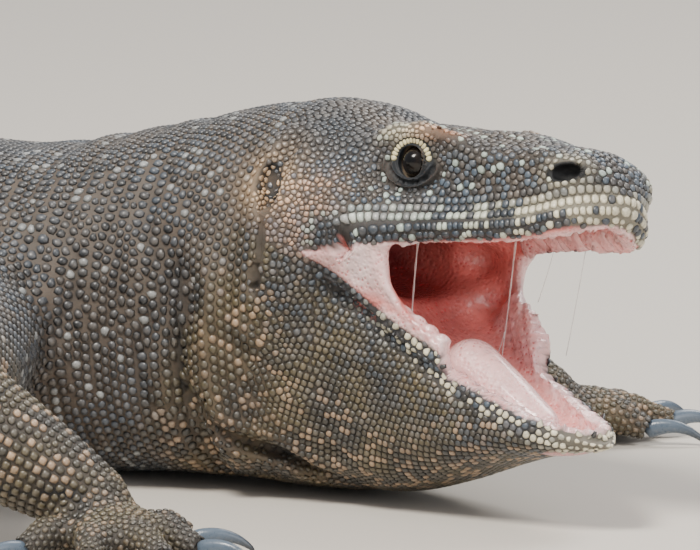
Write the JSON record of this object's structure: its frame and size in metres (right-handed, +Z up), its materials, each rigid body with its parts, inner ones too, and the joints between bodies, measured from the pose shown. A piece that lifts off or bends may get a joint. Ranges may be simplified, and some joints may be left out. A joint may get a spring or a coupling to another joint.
{
  "type": "komodo dragon",
  "caption": "Life-size still model of a komodo dragon lying on its belly with arms spread, head raised and mouth wide open.",
  "frame": {"origin": "on the floor, under the middle of the whole animal's bounding box", "axes": "+X forward towards the snout, +Y to the animal's left, +Z up"},
  "size_m": [2.372, 0.7756, 0.1955],
  "materials": {
    "skin_head": "domed horny scales, dark slate grey with cream and peach ones round the eye and along the lips",
    "skin_body": "rows of small domed bead scales, slate grey-blue with sandy skin between them",
    "skin_throat": "fine scales in level rows, olive brown with pale flecks",
    "skin_limbs": "plate scales in wavy bands, pale grey over slate",
    "mouth": "wet soft tissue, salmon pink with whitish gums and red flecks",
    "eye": "dark brown, clear and glossy as glass",
    "horn": "blue-grey horn, polished, darker along the back and at the tip"
  },
  "bodies": {
    "root": {"head": "skin_head", "lower_jaw": "skin_throat", "throat": "skin_throat", "mouth_lining": "mouth", "tongue": "mouth", "eye_left": "eye", "eye_right": "eye", "neck": "skin_body", "trunk_front": "skin_body", "trunk_rear": "skin_body", "tail_base": "skin_body", "tail_front": "skin_body", "tail_rear": "skin_body", "tail_tip": "skin_body", "right_upper_arm": "skin_limbs", "right_forearm": "skin_limbs", "right_hand": "skin_limbs", "right_hand_claw_1": "horn", "right_hand_claw_2": "horn", "right_hand_claw_3": "horn", "right_hand_claw_4": "horn", "right_hand_claw_5": "horn", "left_upper_arm": "skin_limbs", "left_forearm": "skin_limbs", "left_hand": "skin_limbs", "left_hand_claw_1": "horn", "left_hand_claw_2": "horn", "left_hand_claw_3": "horn", "left_hand_claw_4": "horn", "left_hand_claw_5": "horn", "right_thigh": "skin_limbs", "right_shank": "skin_limbs", "right_foot": "skin_limbs", "right_foot_claw_1": "horn", "right_foot_claw_2": "horn", "right_foot_claw_3": "horn", "right_foot_claw_4": "horn", "right_foot_claw_5": "horn", "left_thigh": "skin_limbs", "left_shank": "skin_limbs", "left_foot": "skin_limbs", "left_foot_claw_1": "horn", "left_foot_claw_2": "horn", "left_foot_claw_3": "horn", "left_foot_claw_4": "horn", "left_foot_claw_5": "horn"}
  },
  "joints": []
}
